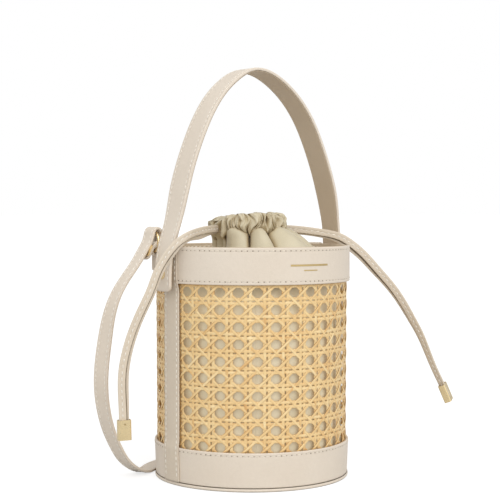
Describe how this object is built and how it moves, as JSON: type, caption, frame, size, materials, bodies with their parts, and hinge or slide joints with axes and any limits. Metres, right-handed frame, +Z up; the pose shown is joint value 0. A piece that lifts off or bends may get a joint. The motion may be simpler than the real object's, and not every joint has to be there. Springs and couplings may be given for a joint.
{
  "type": "bucket bag",
  "caption": "Small cylindrical bucket bag with a woven cane body between leather bands, a drawstring pouch, a top handle and a shoulder strap on side rings.",
  "frame": {"origin": "centre of the base on the ground", "axes": "+Z up to the rim and handle, +X to the right handle foot, -Y the front with the foil mark"},
  "size_m": [0.2814, 0.1627, 0.3097],
  "materials": {
    "leather": "satin",
    "lining_leather": "matte",
    "cane": "satin",
    "satin": "satin",
    "board": "matte",
    "gold_metal": "polished",
    "foil": "satin"
  },
  "bodies": {
    "bag": {"base_panel": "leather", "base_board": "board", "base_lining": "satin", "base_piping": "leather", "base_stiffener": "board", "bottom_band": "leather", "bottom_facing": "lining_leather", "cane_webbing": "cane", "top_band": "leather", "rim_stiffener": "board", "top_facing": "lining_leather", "side_strip_left": "leather", "side_strip_right": "leather", "foil_mark": "foil", "handle_washer_left": "lining_leather", "handle_washer_right": "lining_leather", "handle_stud_left": "gold_metal", "handle_stud_right": "gold_metal", "stud_nut_left": "gold_metal", "stud_nut_right": "gold_metal", "ring_tab_left": "leather", "ring_tab_right": "leather", "strap_end_left": "leather", "strap_end_right": "leather", "pouch_body": "satin"},
    "handle": {"handle_outer_strap": "leather", "handle_lining_strap": "lining_leather"},
    "ring_left": {"ring_left": "gold_metal"},
    "ring_right": {"ring_right": "gold_metal"},
    "slider_left": {"strap_slider_left": "gold_metal"},
    "slider_right": {"strap_slider_right": "gold_metal"},
    "strap": {"shoulder_strap": "leather"},
    "pouch_neck": {"pouch_flare": "satin", "pouch_hem": "satin"},
    "cord_left": {"drawstring_left": "leather"},
    "cord_right": {"drawstring_right": "leather"},
    "cord_left_tail": {"drawstring_left_tail": "leather", "cord_tip_left": "gold_metal", "tip_screw_left": "gold_metal"},
    "cord_right_tail": {"drawstring_right_tail": "leather", "cord_tip_right": "gold_metal", "tip_screw_right": "gold_metal"}
  },
  "joints": [
    {"name": "handle_swing", "type": "hinge", "parent": "bag", "child": "handle", "pos_m": [0, 0, 0.1555], "axis": [1, 0, 0], "range_deg": [0, 3]},
    {"name": "ring_left_turn", "type": "hinge", "parent": "bag", "child": "ring_left", "pos_m": [-0.0775, 0.0185, 0.1785], "axis": [1, 0, 0], "continuous": true},
    {"name": "ring_right_turn", "type": "hinge", "parent": "bag", "child": "ring_right", "pos_m": [0.0788, 0.0185, 0.165], "axis": [1, 0, 0], "continuous": true},
    {"name": "slider_left_travel", "type": "slide", "parent": "bag", "child": "slider_left", "axis": [-0.4276, 0, -0.904], "range_m": [-0.0005, 0.003]},
    {"name": "slider_right_travel", "type": "slide", "parent": "bag", "child": "slider_right", "axis": [0.6149, 0, -0.7886], "range_m": [-0.0005, 0.003]},
    {"name": "strap_swing", "type": "hinge", "parent": "bag", "child": "strap", "pos_m": [0, 0.0186, 0.1516], "axis": [1, 0, 0], "range_deg": [0, 100]},
    {"name": "pouch_neck_lift", "type": "slide", "parent": "bag", "child": "pouch_neck", "axis": [0, 0, 1], "range_m": [0, 0.012], "deforming": ["pouch_flare"]},
    {"name": "cord_left_pull", "type": "slide", "parent": "pouch_neck", "child": "cord_left", "axis": [-0.9096, -0.4154, 0], "range_m": [0, 0.01]},
    {"name": "cord_right_pull", "type": "slide", "parent": "pouch_neck", "child": "cord_right", "axis": [0.8978, -0.4404, 0], "range_m": [0, 0.01]},
    {"name": "cord_left_swing", "type": "hinge", "parent": "cord_left", "child": "cord_left_tail", "pos_m": [-0.07261, -0.0161, 0.1816], "axis": [0.2577, 0.9662, 0], "range_deg": [-6, 60]},
    {"name": "cord_right_swing", "type": "hinge", "parent": "cord_right", "child": "cord_right_tail", "pos_m": [0.0713, -0.01886, 0.1806], "axis": [-0.4404, -0.8978, 0], "range_deg": [-6, 60]}
  ]
}
